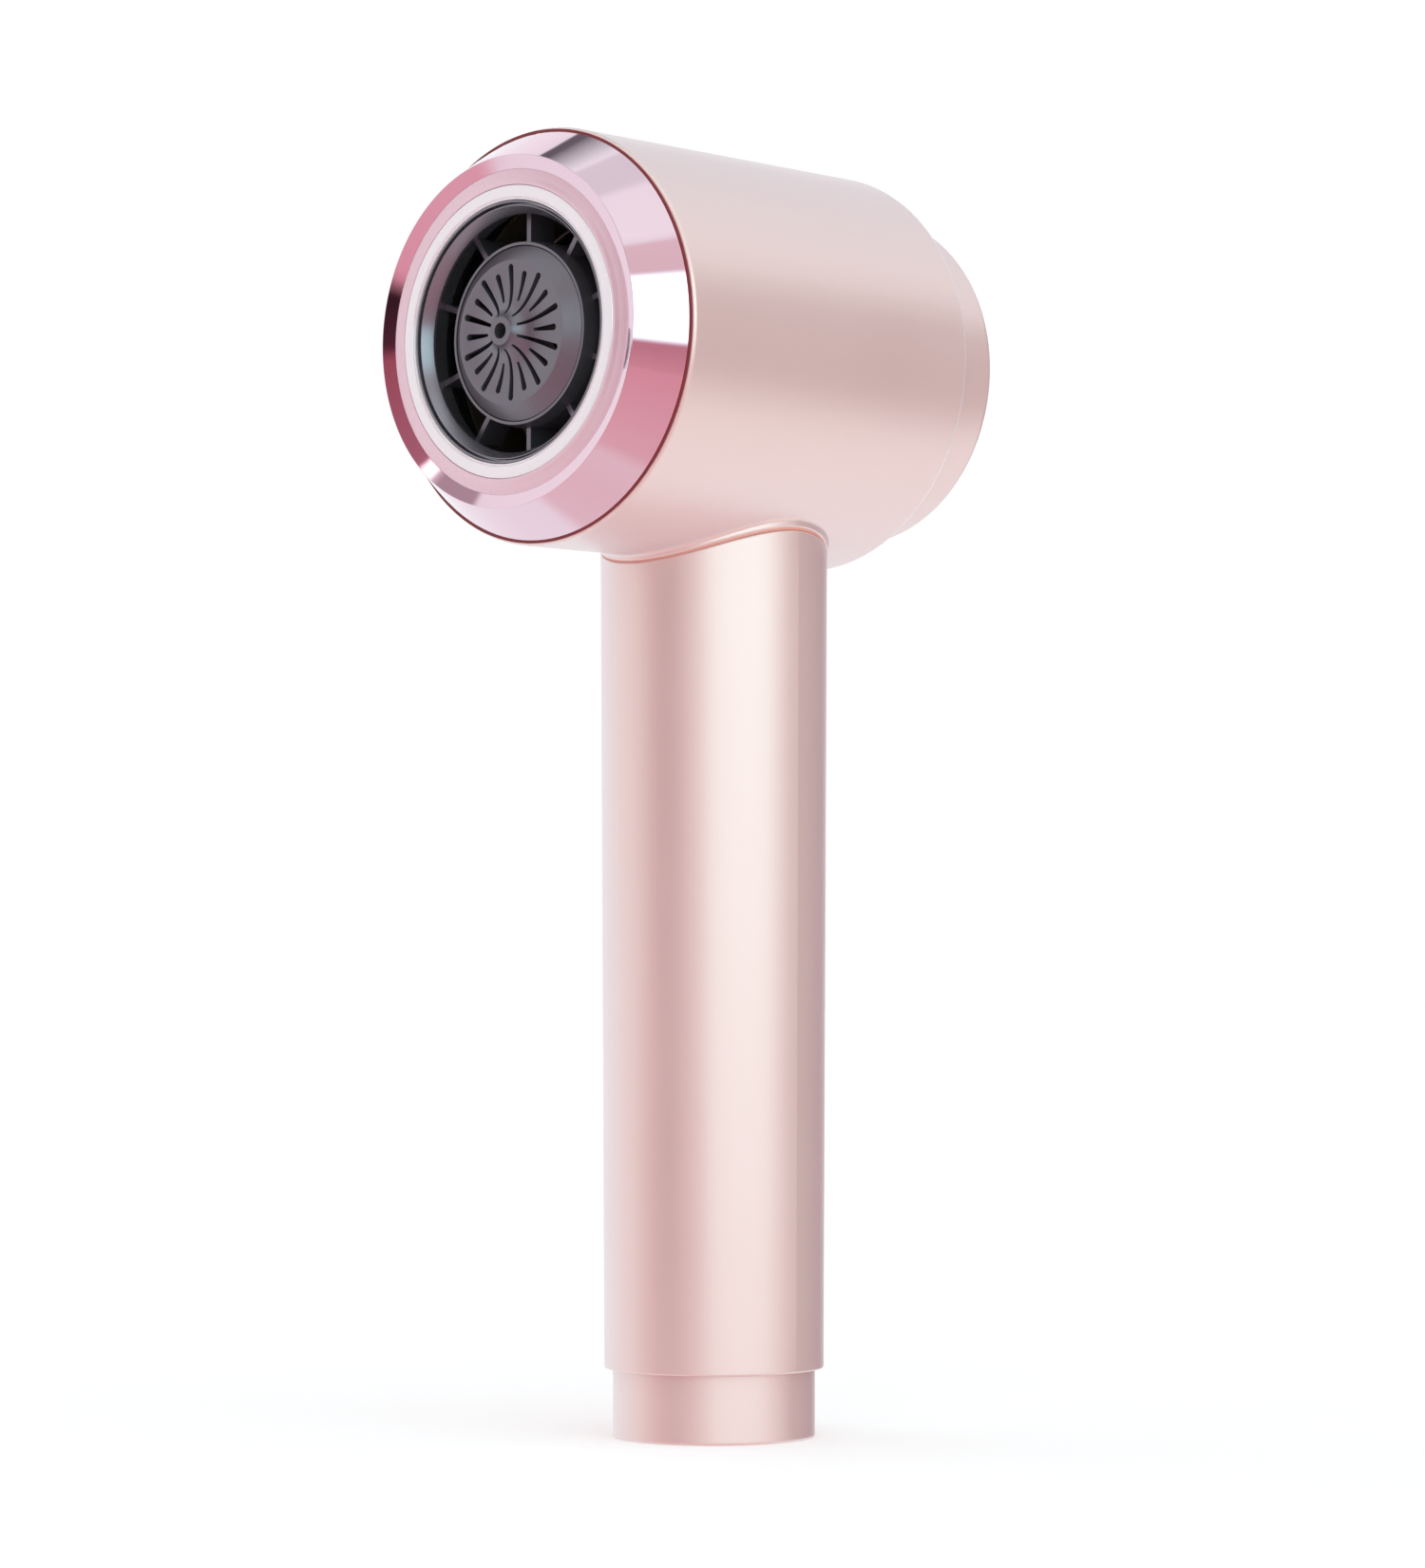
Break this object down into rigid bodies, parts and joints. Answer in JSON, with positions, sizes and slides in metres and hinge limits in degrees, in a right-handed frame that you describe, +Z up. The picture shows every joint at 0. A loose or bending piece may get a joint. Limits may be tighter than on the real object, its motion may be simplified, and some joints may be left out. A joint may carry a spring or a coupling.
{
  "type": "travel hair dryer",
  "caption": "Compact round-barrel hair dryer on a straight round handle, with an annular outlet, magnetic nozzle seat, sliding power switch, push buttons and a pull-off rear filter cap.",
  "frame": {"origin": "middle of the flat foot of the handle, at the mouth of the cord inlet", "axes": "+Z up the handle to the barrel, -Y out of the air outlet, +X to the side"},
  "size_m": [0.0736, 0.0979, 0.2323],
  "materials": {
    "rose_satin": "satin rose-pink lacquer on a thin shell, soft broad highlights",
    "rose_chrome": "polished rose-tinted plating",
    "rose_face": "satin pink",
    "pearl": "pearl white, faint gloss",
    "seal_red": "dark red seal",
    "seal_coral": "coral seal",
    "gunmetal": "satin gunmetal",
    "black_plastic": "matte black",
    "panel": "matte dark grey",
    "button_grey": "matte grey",
    "button_rose": "rose pink",
    "steel": "bright steel",
    "magnet": "nickel-plated",
    "copper": "enamelled copper",
    "heater_wire": "resistance wire",
    "mica": "pale mica sheet",
    "circuit_board": "green circuit board",
    "heatsink": "bare aluminium",
    "rubber": "soft dark rubber",
    "lens": "clear light guide",
    "fuse_body": "pale ceramic"
  },
  "bodies": {
    "dryer": {"barrel_shell": "rose_satin", "bevel_ring": "rose_chrome", "front_seal": "seal_red", "nozzle_carrier": "rose_face", "seat_ring": "pearl", "ring_magnet": "magnet", "outlet_funnel": "gunmetal", "nozzle_screws": "steel", "outlet_hub": "gunmetal", "emitter_cap": "gunmetal", "emitter_needle": "steel", "air_duct": "black_plastic", "heater_sleeve": "mica", "mica_board_flat": "mica", "mica_board_upright": "mica", "heater_coil": "heater_wire", "thermostat": "steel", "thermal_fuse": "fuse_body", "motor_housing": "black_plastic", "motor_dampers": "rubber", "motor_stator": "steel", "stator_windings": "copper", "motor_end_plate": "black_plastic", "front_bearing": "steel", "rear_bearing": "steel", "driver_board": "circuit_board", "intake_guard": "black_plastic", "handle_tube": "rose_satin", "neck_gasket": "seal_coral", "lower_cap": "rose_satin", "cord_gland": "rubber", "handle_chassis": "black_plastic", "handle_screws": "steel", "power_board": "circuit_board", "control_board": "circuit_board", "board_screws": "steel", "cord_clamp": "black_plastic", "bulk_capacitor": "black_plastic", "choke": "copper", "heater_triac": "black_plastic", "triac_heatsink": "heatsink", "terminal_block": "black_plastic", "ion_module": "circuit_board", "wiring_loom": "rubber", "control_panel": "panel", "slide_switch": "black_plastic", "heat_spring": "steel", "cool_spring": "steel", "button_switches": "black_plastic", "indicator_lenses": "lens"},
    "rotor": {"rotor_magnet": "magnet", "motor_shaft": "steel", "impeller": "black_plastic"},
    "filter_cap": {"rear_cap_shell": "rose_satin", "intake_grille": "gunmetal", "filter_frame": "black_plastic", "filter_mesh": "steel"},
    "power_slider": {"power_slider": "panel"},
    "heat_button": {"heat_button": "button_grey"},
    "cool_button": {"cool_button": "button_rose"}
  },
  "joints": [
    {"name": "fan_spin", "type": "hinge", "parent": "dryer", "child": "rotor", "pos_m": [0, 0.016, 0.1955], "axis": [0, 1, 0], "continuous": true},
    {"name": "filter_cap_pull", "type": "slide", "parent": "dryer", "child": "filter_cap", "axis": [0, 1, 0], "range_m": [0, 0.03]},
    {"name": "power_slide", "type": "slide", "parent": "dryer", "child": "power_slider", "axis": [0, 0, 1], "range_m": [0, 0.008]},
    {"name": "heat_press", "type": "slide", "parent": "dryer", "child": "heat_button", "axis": [0, -1, 0], "range_m": [0, 0.0012], "stiffness_N_per_m": 300, "springref_m": -0.001, "deforming": ["heat_spring"]},
    {"name": "cool_press", "type": "slide", "parent": "dryer", "child": "cool_button", "axis": [0, -1, 0], "range_m": [0, 0.0012], "stiffness_N_per_m": 300, "springref_m": -0.001, "deforming": ["cool_spring"]}
  ]
}
